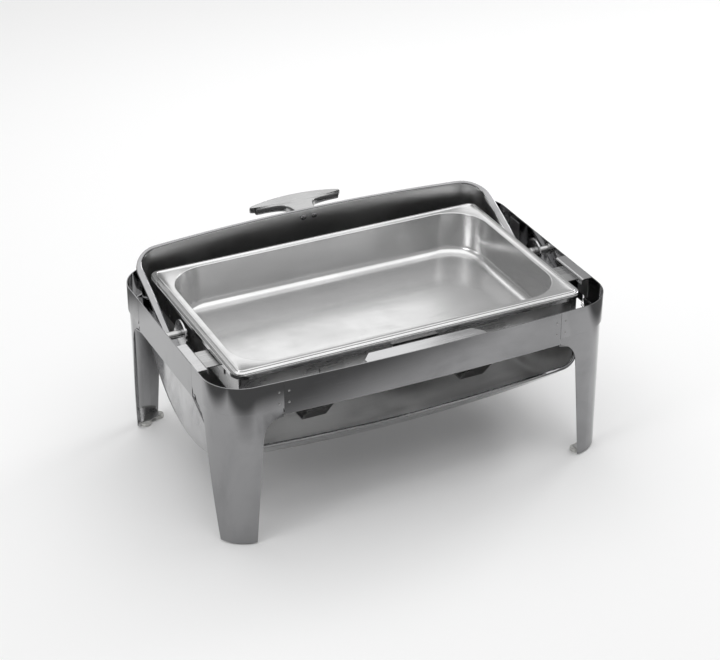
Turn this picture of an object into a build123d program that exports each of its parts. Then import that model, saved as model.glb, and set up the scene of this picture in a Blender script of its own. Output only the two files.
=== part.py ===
from build123d import *
import math
import os

# Roll-top chafing dish for one full-size food pan, in millimetres.
# X runs along the length, the front is -Y, Z is up. The origin is on the floor, under the middle
# of the stand. The lid is modelled rolled open, hanging under the pans from its two pivot pins.

# ---- driving dimensions ----
LENGTH = 612.0  # stand, end wall to end wall
DEPTH = 380.0  # stand, front to rear, measured at its corners
BOW = 10.0  # how far the long sides bulge out at mid length
CORNER_R = 57.0  # plan radius of the stand's corners
TOP = 250.0  # height of the stand's top edge
SHEET = 1.2  # stainless sheet of the stand
APRON_H = 51.0  # height of the aprons and end panels
SEAM_X = 212.0  # seam between a corner leg and a long apron
SEAM_Y = 101.0  # seam between a corner leg and an end panel
GAP = 0.2  # clearance between sheets that butt together

PAN_L, PAN_D = 530.0, 325.0  # full-size gastronorm rim
PAN_DEPTH = 65.0
PAN_Y = 2.0  # the pans sit a little towards the rear
RIM_TOP = 255.5  # top of the food pan's rim
PAN_SHEET = 1.0

PIVOT_Z = 240.0  # lid pivot axis, at mid depth
PIN_R = 4.0
LID_R = 195.0  # outer radius of the lid's roll at mid length
LID_END_R = 181.0  # outer radius of the roll at its ends
LID_HALF = 279.5  # half length of the lid's body
LID_SHEET = 1.0
LID_CORNER = 30.0  # rounding between the roll and its end plates
RIM_DROP = 39.0  # distance from the pivot axis to the lid's rim plane
RIM_HALF_L, RIM_HALF_D, RIM_BOW, RIM_R = 289.0, 180.8, 13.0, 42.0
LID_OPEN = 154.5  # roll from closed to open

BURNER_X = 125.0  # burners stand under the two halves of the pan

def keep(name, part):
    """Label a finished piece and write its STEP file."""
    part.label = name
    export_step(part, f"parts/{name}.step")


def bowed_outline(half_l, half_d, bow, radius, centre_y=0.0):
    """Closed plan outline with bulged long sides, straight ends and round corners."""
    a = Vector(-half_l, centre_y - half_d)
    b = Vector(half_l, centre_y - half_d)
    c = Vector(half_l, centre_y + half_d)
    d = Vector(-half_l, centre_y + half_d)
    with BuildSketch() as plan:
        with BuildLine():
            ThreePointArc(a, (0, centre_y - half_d - bow), b)
            Line(b, c)
            ThreePointArc(c, (0, centre_y + half_d + bow), d)
            Line(d, a)
        make_face()
        fillet(plan.vertices(), radius)
    return plan.sketch


def stand_wall(inset, thickness, low, high):
    """Ring of the stand's wall, set in from its outline, between two heights."""
    outer = bowed_outline(LENGTH / 2 - inset, DEPTH / 2 - inset, BOW, CORNER_R - inset)
    inset += thickness
    inner = bowed_outline(LENGTH / 2 - inset, DEPTH / 2 - inset, BOW, CORNER_R - inset)
    with BuildPart() as wall:
        with BuildSketch(Plane.XY.offset(low)):
            add(outer)
            add(inner, mode=Mode.SUBTRACT)
        extrude(amount=high - low)
    return wall.part


# ---- stand: corner legs ----
BAND_H = 42.0  # upper part of a leg, which stands proud of the rest
STEP_IN = 2.4  # the leg sheet below the band is set in by this much
LEG_FLOOR = 2.0  # the sheet ends above the floor, on its glides
LEG_TOE_X, LEG_KNEE_X = 254.5, 241.5  # free edge on the long side, at the floor and at the fillet
LEG_TOE_Y, LEG_KNEE_Y = 163.0, 138.0  # free edge on the end, at the floor and at the fillet
KNEE_Z = 162.0
APRON_Z = TOP - APRON_H


def leg_cutter(seam, knee, toe):
    """Profile of the sheet cut away beside a leg, in (distance from centre, height)."""
    radius = APRON_Z - KNEE_Z
    with BuildSketch() as cut:
        with BuildLine():
            CenterArc((knee - radius, KNEE_Z), radius, 0, 90)
            Polyline(
                (knee - radius, APRON_Z), (seam - 60, APRON_Z), (seam - 60, -5), (toe, -5), (toe, 0),
                (knee, KNEE_Z),
            )
        make_face()
    return cut.sketch


def leg(side, end):
    """Corner leg: side is -1 for left and 1 for right, end is -1 for front and 1 for rear."""
    band_low = TOP - BAND_H
    with BuildPart() as part:
        add(stand_wall(0, SHEET, band_low, TOP))
        add(stand_wall(0, STEP_IN + SHEET, band_low, band_low + SHEET))
        add(stand_wall(STEP_IN, SHEET, LEG_FLOOR, band_low + SHEET))
        with Locations((side * (SEAM_X + 100), end * (SEAM_Y + 75), TOP / 2)):
            Box(200 - GAP, 150 - GAP, TOP + 10, mode=Mode.INTERSECT)
        for normal, away, seam, knee, toe in (
            (Plane.XZ, side, SEAM_X, LEG_KNEE_X, LEG_TOE_X),
            (Plane.YZ, end, SEAM_Y, LEG_KNEE_Y, LEG_TOE_Y),
        ):
            with BuildSketch(normal):
                if away > 0:
                    add(leg_cutter(seam, knee, toe))
                else:
                    add(mirror(leg_cutter(seam, knee, toe), about=Plane.YZ, mode=Mode.PRIVATE))
            extrude(amount=400, both=True, mode=Mode.SUBTRACT)
    return part.part


# ---- stand: aprons, end panels and what joins them ----
def long_apron(end):
    """Bowed sheet between the two legs of the front (end -1) or the rear (end 1)."""
    with BuildPart() as part:
        add(stand_wall(0, SHEET, APRON_Z, TOP))
        with Locations((0, end * DEPTH / 2, TOP)):
            Box(2 * SEAM_X - GAP, 100, 2 * APRON_H + 20, mode=Mode.INTERSECT)
    return part.part


def end_panel(side):
    """Straight sheet between the two legs of one end."""
    with BuildPart() as part:
        add(stand_wall(0, SHEET, APRON_Z, TOP))
        with Locations((side * LENGTH / 2, 0, TOP)):
            Box(100, 2 * SEAM_Y - GAP, 2 * APRON_H + 20, mode=Mode.INTERSECT)
    return part.part


def seam_straps():
    """Lap straps spot welded behind the eight seams."""
    with BuildPart() as part:
        add(stand_wall(SHEET, SHEET, APRON_Z + 14, TOP - 8))
        with Locations(*[(x, y, TOP - 25) for x in (-SEAM_X, SEAM_X) for y in (-DEPTH / 2, DEPTH / 2)]):
            straps = Box(26, 60, 60, mode=Mode.PRIVATE)
        with Locations(*[(x, y, TOP - 25) for x in (-LENGTH / 2, LENGTH / 2) for y in (-SEAM_Y, SEAM_Y)]):
            end_straps = Box(60, 26, 60, mode=Mode.PRIVATE)
        add([straps, end_straps], mode=Mode.INTERSECT)
    return part.part


def bent_strip(plane, points, sheet, width):
    """Strip of sheet metal folded along points of a plane's own axes, centred on that plane."""
    with BuildPart() as part:
        with BuildSketch(plane):
            with BuildLine():
                bends = FilletPolyline(*points, radius=2.5 * sheet)
            trace(bends, line_width=sheet)
        extrude(amount=width / 2, both=True)
    return part.part


LEDGE_DEPTH = 16.0
LEDGE_Y = (-122.0, -47.0)  # the end ledges lie over the front half of the end panels
FRONT_LEDGE_L, FRONT_LEDGE_DEPTH = 182.0, 22.0
LIP = 9.0


def end_ledge(side):
    """Flat shelf folded inwards at the top of an end panel, with a lip turned down."""
    wall = LENGTH / 2 - SHEET
    middle = (LEDGE_Y[0] + LEDGE_Y[1]) / 2
    points = [(wall, -SHEET / 2), (wall - LEDGE_DEPTH + SHEET / 2, -SHEET / 2), (wall - LEDGE_DEPTH + SHEET / 2, -LIP)]
    plane = Plane(origin=(0, middle, TOP), x_dir=(side, 0, 0), z_dir=(0, -side, 0))
    return bent_strip(plane, points, SHEET, LEDGE_Y[1] - LEDGE_Y[0])


def front_ledge():
    """Longer shelf at the middle of the front apron, with its two free corners cut off."""
    half = FRONT_LEDGE_L / 2
    inner = -(DEPTH / 2 + BOW) + SHEET + FRONT_LEDGE_DEPTH
    with BuildPart() as part:
        with BuildSketch(Plane.XY.offset(TOP - SHEET)):
            with BuildLine():
                Polyline((-half, -DEPTH), (-half, inner - 14), (-half + 12, inner), (half - 12, inner),
                         (half, inner - 14), (half, -DEPTH), close=True)
            make_face()
            add(bowed_outline(LENGTH / 2 - SHEET, DEPTH / 2 - SHEET, BOW, CORNER_R - SHEET), mode=Mode.INTERSECT)
        extrude(amount=SHEET)
        with BuildSketch(Plane.XY.offset(TOP - LIP)):
            with Locations((0, inner - SHEET / 2)):
                Rectangle(FRONT_LEDGE_L - 24, SHEET)
        extrude(amount=LIP)
    return part.part


# ---- pan frame, hung inside the stand from the ledges ----
RIM_LIP = 4.0  # turned-down edge of the food pan's rim
BEAD = 1.0  # raised bead on the rim
WATER_TOP = RIM_TOP - BEAD - RIM_LIP - 0.3  # top of the water pan's rim
FRAME_TOP = WATER_TOP - PAN_SHEET - 0.3
FRAME_L, FRAME_D, FRAME_LOW = 520.0, 318.0, 207.0
STRUT_Z = 242.5


def pan_frame():
    """Folded collar that the water pan stands in, with a flange turned in along its foot."""
    with BuildPart() as part:
        with BuildSketch(Plane.XY.offset(FRAME_LOW)):
            with Locations((0, PAN_Y)):
                RectangleRounded(FRAME_L, FRAME_D, 3)
                RectangleRounded(FRAME_L - 2 * SHEET, FRAME_D - 2 * SHEET, 1.8, mode=Mode.SUBTRACT)
        extrude(amount=FRAME_TOP - FRAME_LOW)
        with BuildSketch(Plane.XY.offset(FRAME_LOW)):
            with Locations((0, PAN_Y)):
                RectangleRounded(FRAME_L - SHEET, FRAME_D - SHEET, 3)
                RectangleRounded(FRAME_L - 9, FRAME_D - 9, 20, mode=Mode.SUBTRACT)
        extrude(amount=SHEET)
    return part.part


def end_strut(side):
    """Bracket from an end ledge's lip to the pan frame."""
    lip = LENGTH / 2 - SHEET - LEDGE_DEPTH
    middle = (LEDGE_Y[0] + LEDGE_Y[1]) / 2
    frame = FRAME_L / 2 + 0.75
    points = [(lip, STRUT_Z - TOP), (frame, STRUT_Z - TOP), (frame, STRUT_Z - TOP - 16)]
    plane = Plane(origin=(0, middle, TOP), x_dir=(side, 0, 0), z_dir=(0, -side, 0))
    return bent_strip(plane, points, 1.5, 44)


def front_strut():
    """Bracket from the front ledge's lip to the pan frame."""
    lip = DEPTH / 2 + BOW - SHEET - FRONT_LEDGE_DEPTH
    frame = FRAME_D / 2 - PAN_Y + 0.75
    points = [(lip, STRUT_Z - TOP), (frame, STRUT_Z - TOP), (frame, STRUT_Z - TOP - 16)]
    plane = Plane(origin=(0, 0, TOP), x_dir=(0, -1, 0), z_dir=(-1, 0, 0))
    return bent_strip(plane, points, 1.5, 70)


# ---- feet ----
GLIDE_R, GLIDE_H = 8.5, 5.0
GLIDES = ((259.0, 177.0), (283.0, 165.0))  # under the two free edges of each leg
CORNERS = [(x, y) for x in (-1, 1) for y in (-1, 1)]


def toe_plates():
    """Gusset plates welded across the foot of each leg, which carry the glides."""
    inset = STEP_IN + SHEET
    with BuildPart() as part:
        with BuildSketch(Plane.XY.offset(GLIDE_H)):
            for x, y in CORNERS:
                with BuildLine():
                    Polyline((x * 257, y * 210), (x * 257, y * 172), (x * 274, y * 165), (x * 310, y * 165),
                             (x * 310, y * 210), close=True)
                make_face()
            add(bowed_outline(LENGTH / 2 - inset, DEPTH / 2 - inset, BOW, CORNER_R - inset), mode=Mode.INTERSECT)
        extrude(amount=SHEET)
    return part.part


def foot_glides():
    """Round plastic glides, two under each leg."""
    with BuildPart() as part:
        with BuildSketch(Plane.XY):
            with Locations(*[(x * gx, y * gy) for x, y in CORNERS for gx, gy in GLIDES]):
                Circle(GLIDE_R)
        extrude(amount=GLIDE_H)
        fillet(part.edges().group_by(Axis.Z)[0], 1.2)
    return part.part


# ---- pivot pins ----
LUG_X, LUG_SHEET = LID_HALF, 2.0
PIN_TIP = LUG_X - 5.0
RUNNING = 0.05  # radial play of the pivot


def pivot_plane(side, distance):
    """Plane across the pivot axis, at a distance from mid length, facing outwards."""
    return Plane(origin=(side * distance, 0, PIVOT_Z), x_dir=(0, 1, 0), z_dir=(side, 0, 0))


def pivot_pin(side):
    """Pin welded to the inside of an end panel by its round foot."""
    wall = LENGTH / 2 - SHEET
    with BuildPart() as part:
        with BuildSketch(pivot_plane(side, PIN_TIP)):
            Circle(PIN_R)
        extrude(amount=wall - PIN_TIP)
        with BuildSketch(pivot_plane(side, wall - 2)):
            Circle(8.5)
        extrude(amount=2)
    return part.part


def pivot_spacer(side):
    """Sleeve on the pin that holds the lid away from the end panel."""
    near = LUG_X + LUG_SHEET + 0.4
    with BuildPart() as part:
        with BuildSketch(pivot_plane(side, near)):
            Circle(5.8)
            Circle(PIN_R + 0.02, mode=Mode.SUBTRACT)
        extrude(amount=LENGTH / 2 - SHEET - 2 - near)
    return part.part


def pivot_nut(side):
    """Domed nut that keeps the lid's lug on its pin."""
    with BuildPart() as part:
        with BuildSketch(pivot_plane(side, LUG_X - 7.4)):
            Circle(7.2)
        extrude(amount=7.0)
        fillet(part.faces().sort_by(Axis.X)[0 if side > 0 else -1].edges(), 3)
        with BuildSketch(pivot_plane(side, PIN_TIP - 0.1)):
            Circle(PIN_R + 0.02)
        extrude(amount=10, mode=Mode.SUBTRACT)
    return part.part


# ---- burners ----
STRAP_Z, STRAP_SHEET = 117.0, 2.0
CUP_R, CUP_H, CUP_SHEET = 46.0, 27.0, 1.2
FLAME_R = 20.0
SWIVEL_Y = 34.0  # the damper's pivot, behind the burner's centre
CUP_Z = STRAP_Z + STRAP_SHEET / 2
COVER_Z = CUP_Z + CUP_H


def burner_strap(side):
    """Bent strap that hangs from the pan frame and carries one burner."""
    drop = FRAME_D / 2 + STRAP_SHEET / 2
    points = [(-drop, 232), (-drop, 190), (-98, STRAP_Z), (98, STRAP_Z), (drop, 190), (drop, 232)]
    plane = Plane(origin=(side * BURNER_X, PAN_Y, 0), x_dir=(0, 1, 0), z_dir=(1, 0, 0))
    return bent_strip(plane, points, STRAP_SHEET, 36)


def burner_cup(side):
    """Open fuel cup."""
    with BuildPart() as part:
        with BuildSketch(Plane(origin=(side * BURNER_X, 0, CUP_Z), x_dir=(1, 0, 0), z_dir=(0, -1, 0))):
            with BuildLine():
                wall = FilletPolyline((0, CUP_SHEET / 2), (CUP_R, CUP_SHEET / 2), (CUP_R, CUP_H), radius=5)
            trace(wall, line_width=CUP_SHEET)
            with Locations((-100, 0)):
                Rectangle(200, 200, mode=Mode.SUBTRACT)
        revolve(axis=Axis((side * BURNER_X, 0, 0), (0, 0, 1)))
    return part.part


def burner_cover(side):
    """Cover with the flame opening and the post on which the damper turns."""
    with BuildPart() as part:
        with BuildSketch(Plane(origin=(side * BURNER_X, 0, COVER_Z))):
            Circle(CUP_R + 2.4)
            Circle(FLAME_R, mode=Mode.SUBTRACT)
        extrude(amount=CUP_SHEET)
        with BuildSketch(Plane(origin=(side * BURNER_X, 0, COVER_Z))):
            Circle(CUP_R + 2.4)
            Circle(CUP_R + 1.2, mode=Mode.SUBTRACT)
        extrude(amount=-8)
        with BuildSketch(Plane(origin=(side * BURNER_X, SWIVEL_Y, COVER_Z))):
            Circle(2.5)
        extrude(amount=CUP_SHEET + 2.6)
        with BuildSketch(Plane(origin=(side * BURNER_X, SWIVEL_Y, COVER_Z + CUP_SHEET + 2.4))):
            Circle(4.5)
        extrude(amount=1.6)
    return part.part


def damper(side):
    """Round damper on a tongue, which swings over the flame opening."""
    plane = Plane(origin=(side * BURNER_X, 0, COVER_Z + CUP_SHEET + 0.4))
    with BuildPart() as part:
        with BuildSketch(plane):
            Circle(FLAME_R + 4)
            with Locations((0, SWIVEL_Y)):
                Circle(7)
            with Locations((0, SWIVEL_Y / 2)):
                Rectangle(14, SWIVEL_Y)
            with Locations((0, SWIVEL_Y)):
                Circle(2.5 + RUNNING, mode=Mode.SUBTRACT)
        extrude(amount=1.5)
        with BuildSketch(plane.offset(1.5)):
            with Locations((0, -FLAME_R + 2)):
                Circle(3.5)
        extrude(amount=9)
        fillet(part.faces().sort_by(Axis.Z)[-1].edges(), 1.5)
    return part.part


# ---- pans ----
def pan(length, depth, rim, well, well_r, deep, foot_r, top, lip, sheet):
    """Deep-drawn pan: flat rim with a turned-down edge, a bead, and a tapered well with round corners."""
    middle = (0, PAN_Y)
    with BuildPart() as part:
        with BuildSketch(Plane.XY.offset(top)):
            with Locations(middle):
                RectangleRounded(length, depth, rim)
        extrude(amount=-sheet)
        with BuildSketch(Plane.XY.offset(top)):
            with Locations(middle):
                RectangleRounded(length, depth, rim)
                RectangleRounded(length - 2 * sheet, depth - 2 * sheet, rim - sheet, mode=Mode.SUBTRACT)
        extrude(amount=-lip)
    with BuildPart() as outer:
        with BuildSketch(Plane.XY.offset(top)):
            with Locations(middle):
                RectangleRounded(well[0], well[1], well_r)
        extrude(amount=-deep, taper=3)
        fillet(outer.faces().sort_by(Axis.Z)[0].edges(), foot_r)
    with BuildPart() as inner:
        with BuildSketch(Plane.XY.offset(top)):
            with Locations(middle):
                RectangleRounded(well[0] - 2 * sheet, well[1] - 2 * sheet, well_r - sheet)
        extrude(amount=-(deep - sheet), taper=3)
        fillet(inner.faces().sort_by(Axis.Z)[0].edges(), foot_r - sheet)
    with BuildPart() as whole:
        add(part.part)
        add(outer.part)
        add(inner.part, mode=Mode.SUBTRACT)
        if well_r > 50:
            with BuildSketch(Plane.XY.offset(top)):
                with Locations(middle):
                    RectangleRounded(length - 10, depth - 10, rim - 5)
                    RectangleRounded(length - 15, depth - 15, rim - 7.5, mode=Mode.SUBTRACT)
            extrude(amount=BEAD)
    return whole.part


# ---- lid, in its own frame: local Z points to the crown, local -Y to the handle ----
LID = Plane(origin=(0, 0, PIVOT_Z)).rotated((-LID_OPEN, 0, 0))


def lid_section(x):
    """Plane across the lid at a place along its length."""
    return Plane(origin=LID.from_local_coords((x, 0, 0)), x_dir=LID.y_dir, z_dir=LID.x_dir)


def lid_solid(half, radius, end_radius, corner, drop):
    """Barrel-shaped roll, a little fuller at mid length, cut off at a distance from the pivot axis."""
    with BuildPart() as roll:
        for x, r in ((-half, end_radius), (0, radius), (half, end_radius)):
            reach = math.sqrt(r * r - drop * drop)
            with BuildSketch(lid_section(x)):
                with BuildLine():
                    ThreePointArc((-reach, drop), (0, r), (reach, drop))
                    Line((reach, drop), (-reach, drop))
                make_face()
        loft()
        ends = roll.faces().filter_by(GeomType.PLANE).sort_by(Axis.X)
        arcs = [e for face in (ends[0], ends[-1]) for e in face.edges() if e.geom_type != GeomType.LINE]
        fillet(arcs, corner)
    return roll.part


SCREW_X, SCREW_R = 9.0, 2.0
HANDLE_RISE = 50.0  # height of the handle's foot above the pivot axis, lid closed
SCREW_ANGLE = math.degrees(math.asin(HANDLE_RISE / LID_R))


def screw_plane(x, radius):
    """Plane on the lid at a handle screw, facing out along the screw."""
    angle = math.radians(SCREW_ANGLE)
    out = LID.z_dir * math.sin(angle) - LID.y_dir * math.cos(angle)
    return Plane(origin=LID.from_local_coords((x, 0, 0)) + out * radius, x_dir=(1, 0, 0), z_dir=out)


def screw_holes():
    """Clearance holes for the two handle screws."""
    with BuildPart() as holes:
        for x in (-SCREW_X, SCREW_X):
            with BuildSketch(screw_plane(x, LID_R - 10)):
                Circle(SCREW_R + 0.1)
            extrude(amount=26)
    return holes.part


def lid_shell():
    """Rolled shell with its two end plates."""
    with BuildPart() as part:
        add(lid_solid(LID_HALF, LID_R, LID_END_R, LID_CORNER, RIM_DROP))
        add(
            lid_solid(LID_HALF - LID_SHEET, LID_R - LID_SHEET, LID_END_R - LID_SHEET, LID_CORNER - LID_SHEET,
                      RIM_DROP - 2),
            mode=Mode.SUBTRACT,
        )
        add(screw_holes(), mode=Mode.SUBTRACT)
    return part.part


def lid_rim():
    """Flat flange round the lid's mouth, with its outer edge turned back."""
    sheet = 1.2
    reach = math.sqrt((LID_END_R - LID_SHEET) ** 2 - RIM_DROP**2)
    bulge = math.sqrt((LID_R - LID_SHEET) ** 2 - RIM_DROP**2) - reach
    outer = bowed_outline(RIM_HALF_L, RIM_HALF_D, RIM_BOW, RIM_R)
    with BuildPart() as part:
        with BuildSketch(LID.offset(RIM_DROP - sheet)):
            add(outer)
            add(bowed_outline(LID_HALF - LID_SHEET, reach, bulge, LID_CORNER - LID_SHEET), mode=Mode.SUBTRACT)
            with Locations((-LUG_X - 1, 0), (LUG_X + 1, 0)):
                Rectangle(2 * LUG_SHEET + 0.6, 2 * LUG_R + 1, mode=Mode.SUBTRACT)
        extrude(amount=sheet)
        with BuildSketch(LID.offset(RIM_DROP)):
            add(outer)
            add(bowed_outline(RIM_HALF_L - sheet, RIM_HALF_D - sheet, RIM_BOW, RIM_R - sheet), mode=Mode.SUBTRACT)
        extrude(amount=3)
    return part.part


LUG_R, LUG_TOP = 20.0, 74.0


def lid_lug(side):
    """Plate riveted to an end of the lid, with the pivot hole in its round end."""
    plane = Plane(origin=LID.from_local_coords((side * LUG_X, 0, 0)), x_dir=LID.y_dir * side, z_dir=LID.x_dir * side)
    with BuildPart() as part:
        with BuildSketch(plane):
            Circle(LUG_R)
            with Locations((0, LUG_TOP / 2)):
                Rectangle(2 * LUG_R, LUG_TOP)
            fillet(vertices().group_by(Axis.Z)[0 if LID.z_dir.Z < 0 else -1], 10)
            Circle(PIN_R + RUNNING, mode=Mode.SUBTRACT)
        extrude(amount=LUG_SHEET)
    return part.part


def lug_rivets():
    """Domed rivet heads on the lugs, two on each."""
    with BuildPart() as part:
        for side in (-1, 1):
            for y in (-11, 11):
                origin = LID.from_local_coords((side * (LUG_X + LUG_SHEET), y, 56))
                with BuildSketch(Plane(origin=origin, z_dir=(side, 0, 0))):
                    Circle(4)
                extrude(amount=1.6)
        for end, face in ((-1, Axis.X), (1, Axis.X)):
            outer = part.faces().filter_by(GeomType.PLANE).group_by(face)[0 if end < 0 else -1]
            fillet(outer.edges(), 1.2)
    return part.part


WING_SPAN, WING_REACH, WING_T = 150.0, 51.0, 13.0
HANDLE_TILT = 23.0  # the handle leans towards the crown, clear of the rim


def handle_plane():
    """Middle plane of the handle: its origin is the foot on the lid, and local -Y points away from the lid."""
    angle, tilt = math.radians(SCREW_ANGLE), math.radians(HANDLE_TILT)
    foot = LID.z_dir * math.sin(angle) - LID.y_dir * math.cos(angle)
    return Plane(origin=LID.origin + foot * LID_R, x_dir=(1, 0, 0),
                 z_dir=LID.z_dir * math.cos(tilt) + LID.y_dir * math.sin(tilt))


def lid_handle():
    """Cast handle: a stem on the lid that spreads into two swept wings."""
    half, reach = WING_SPAN / 2, -WING_REACH
    with BuildPart() as part:
        with BuildSketch(handle_plane().offset(-WING_T / 2)):
            with BuildLine():
                ThreePointArc((-half, reach), (0, reach - 11), (half, reach))
                Line((half, reach), (half - 3, reach + 12))
                ThreePointArc((half - 3, reach + 12), (44, reach + 9), (26, reach + 14))
                ThreePointArc((26, reach + 14), (19, reach + 26), (22, 12))
                Line((22, 12), (-22, 12))
                ThreePointArc((-22, 12), (-19, reach + 26), (-26, reach + 14))
                ThreePointArc((-26, reach + 14), (-44, reach + 9), (-half + 3, reach + 12))
                Line((-half + 3, reach + 12), (-half, reach))
            make_face()
            tips = vertices().filter_by(lambda v: abs(v.X) > half - 5)
            fillet(tips, 5)
        extrude(amount=WING_T)
        fillet(part.edges().filter_by(lambda e: e.length > 8), 3.4)
        with BuildSketch(lid_section(-60)):
            Circle(LID_R + 0.05)
        extrude(amount=120, mode=Mode.SUBTRACT)
        add(screw_holes(), mode=Mode.SUBTRACT)
    return part.part


def handle_screws():
    """Two screws that hold the handle from inside the lid."""
    with BuildPart() as part:
        for x in (-SCREW_X, SCREW_X):
            with BuildSketch(screw_plane(x, LID_R - LID_SHEET - 2.6)):
                Circle(4.6)
            extrude(amount=2.4)
            with BuildSketch(screw_plane(x, LID_R - LID_SHEET - 0.3)):
                Circle(SCREW_R)
            extrude(amount=14)
    return part.part


# ---- all the pieces ----
os.makedirs("parts", exist_ok=True)
SIDES = (("left", -1), ("right", 1))
for row, end in (("front", -1), ("rear", 1)):
    for name, side in SIDES:
        keep(f"leg_{row}_{name}", leg(side, end))
    keep(f"{row}_apron", long_apron(end))
for name, side in SIDES:
    keep(f"end_panel_{name}", end_panel(side))
    keep(f"end_ledge_{name}", end_ledge(side))
    keep(f"end_strut_{name}", end_strut(side))
    keep(f"pivot_pin_{name}", pivot_pin(side))
    keep(f"pivot_spacer_{name}", pivot_spacer(side))
    keep(f"pivot_nut_{name}", pivot_nut(side))
    keep(f"burner_strap_{name}", burner_strap(side))
    keep(f"burner_cup_{name}", burner_cup(side))
    keep(f"burner_cover_{name}", burner_cover(side))
    keep(f"burner_damper_{name}", damper(side))
    keep(f"lid_lug_{name}", lid_lug(side))
keep("seam_straps", seam_straps())
keep("front_ledge", front_ledge())
keep("front_strut", front_strut())
keep("pan_frame", pan_frame())
keep("toe_plates", toe_plates())
keep("foot_glides", foot_glides())
keep("food_pan", pan(PAN_L, PAN_D, 13, (500, 295), 58, PAN_DEPTH, 17, RIM_TOP - BEAD, RIM_LIP, PAN_SHEET))
keep("water_pan", pan(534, 329, 20, (508, 303), 50, 80, 24, WATER_TOP, 5.0, PAN_SHEET))
keep("lid_shell", lid_shell())
keep("lid_rim", lid_rim())
keep("lug_rivets", lug_rivets())
keep("lid_handle", lid_handle())
keep("handle_screws", handle_screws())
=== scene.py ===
# %% [markdown]
# # A roll-top chafing dish
# The dish is pressed and folded stainless steel: an open stand on four corner legs, a food pan
# over a water pan, and a barrel-shaped lid that rolls back under the pans on two pins.
# The CAD model comes first. It is the frame that every new piece is placed by, so the pieces fit
# each other and move with it.

# %% Load the frame
import math

import bmesh
import bpy
from mathutils import Matrix, Vector


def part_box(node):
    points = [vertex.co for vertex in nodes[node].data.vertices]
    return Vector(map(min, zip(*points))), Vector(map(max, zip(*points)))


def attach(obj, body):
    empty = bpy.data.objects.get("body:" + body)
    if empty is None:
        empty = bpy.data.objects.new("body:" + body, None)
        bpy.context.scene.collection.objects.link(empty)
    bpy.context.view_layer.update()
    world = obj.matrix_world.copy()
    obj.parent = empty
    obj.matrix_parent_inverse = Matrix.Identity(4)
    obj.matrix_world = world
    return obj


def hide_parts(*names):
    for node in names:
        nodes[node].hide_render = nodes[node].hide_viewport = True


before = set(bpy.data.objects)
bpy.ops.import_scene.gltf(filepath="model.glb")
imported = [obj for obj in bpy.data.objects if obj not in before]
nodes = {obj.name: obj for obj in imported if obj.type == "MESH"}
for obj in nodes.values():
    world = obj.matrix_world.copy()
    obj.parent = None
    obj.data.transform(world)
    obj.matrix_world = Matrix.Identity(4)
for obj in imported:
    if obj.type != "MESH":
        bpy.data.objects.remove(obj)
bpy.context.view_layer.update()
MM = 0.001

# %% [markdown]
# ## Camera, floor and light
# A mirror finish shows mostly the room that stands round it. Steel has almost no
# colour of its own, so the room is kept plain: a pale floor that runs past the view, one large
# soft light overhead, a small one behind that the pans mirror, and two weak ones at the sides.
# Their places and strengths are listed below. The long lens stands three metres away and looks down
# by thirty degrees, which keeps the long edges of the stand nearly parallel.

# %% The camera
CAMERA_TURN, CAMERA_RISE = math.radians(-25.9), math.radians(29.46)
CAMERA_DISTANCE = 3.008
AIM = Vector((0, 0, 0.18))
FOCAL_LENGTH, SENSOR = 104.05, 36.0
SHIFT_X, SHIFT_Y = -0.0056, -0.0033

camera_data = bpy.data.cameras.new("camera")
camera_data.lens = FOCAL_LENGTH
camera_data.sensor_width = SENSOR
camera_data.shift_x, camera_data.shift_y = SHIFT_X, SHIFT_Y
camera = bpy.data.objects.new("camera", camera_data)
bpy.context.scene.collection.objects.link(camera)
flat = math.cos(CAMERA_RISE)
towards = Vector((math.sin(CAMERA_TURN) * flat, -math.cos(CAMERA_TURN) * flat, math.sin(CAMERA_RISE)))
camera.location = AIM + towards * CAMERA_DISTANCE
camera.rotation_euler = (-towards).to_track_quat("-Z", "Y").to_euler()
bpy.context.scene.camera = camera
print("camera at", [round(v, 3) for v in camera.location])

# %% The floor
FLOOR_SIZE = 6.0
FLOOR_TONE = (0.92, 0.92, 0.92, 1)
floor_bm = bmesh.new()
bmesh.ops.create_grid(floor_bm, x_segments=1, y_segments=1, size=FLOOR_SIZE)
floor_mesh = bpy.data.meshes.new("floor")
floor_bm.to_mesh(floor_mesh)
floor_bm.free()
floor = bpy.data.objects.new("floor", floor_mesh)
bpy.context.scene.collection.objects.link(floor)
floor_material = bpy.data.materials.new("pale_floor")
floor_material.use_nodes = True
floor_shader = floor_material.node_tree.nodes["Principled BSDF"]
floor_shader.inputs["Base Color"].default_value = FLOOR_TONE
floor_shader.inputs["Roughness"].default_value = 0.9
floor_mesh.materials.append(floor_material)
print("floor half width", FLOOR_SIZE)


# %% The lights
def soft_light(name, place, size, power, aim=(0, 0, 0.15)):
    """A square area light that looks at the dish."""
    data = bpy.data.lights.new(name, "AREA")
    data.shape, data.size, data.energy = "SQUARE", size, power
    lamp = bpy.data.objects.new(name, data)
    bpy.context.scene.collection.objects.link(lamp)
    lamp.location = place
    lamp.rotation_euler = (Vector(aim) - Vector(place)).to_track_quat("-Z", "Y").to_euler()
    return lamp


soft_light("overhead", (0.1, 0.2, 3.2), 5.0, 86)
soft_light("behind", (0.42, 1.30, 1.00), 0.7, 1.3)
soft_light("left_side", (-2.4, -0.6, 1.3), 0.8, 7)
soft_light("right_side", (2.2, 0.8, 1.6), 0.8, 12)
ROOM_GREY = (0.46, 0.46, 0.46, 1)
world = bpy.data.worlds.new("room")
world.use_nodes = True
background = world.node_tree.nodes["Background"]
background.inputs["Color"].default_value = ROOM_GREY
background.inputs["Strength"].default_value = 1.0
bpy.context.scene.world = world
bpy.context.scene.view_settings.view_transform = "Standard"

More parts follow.
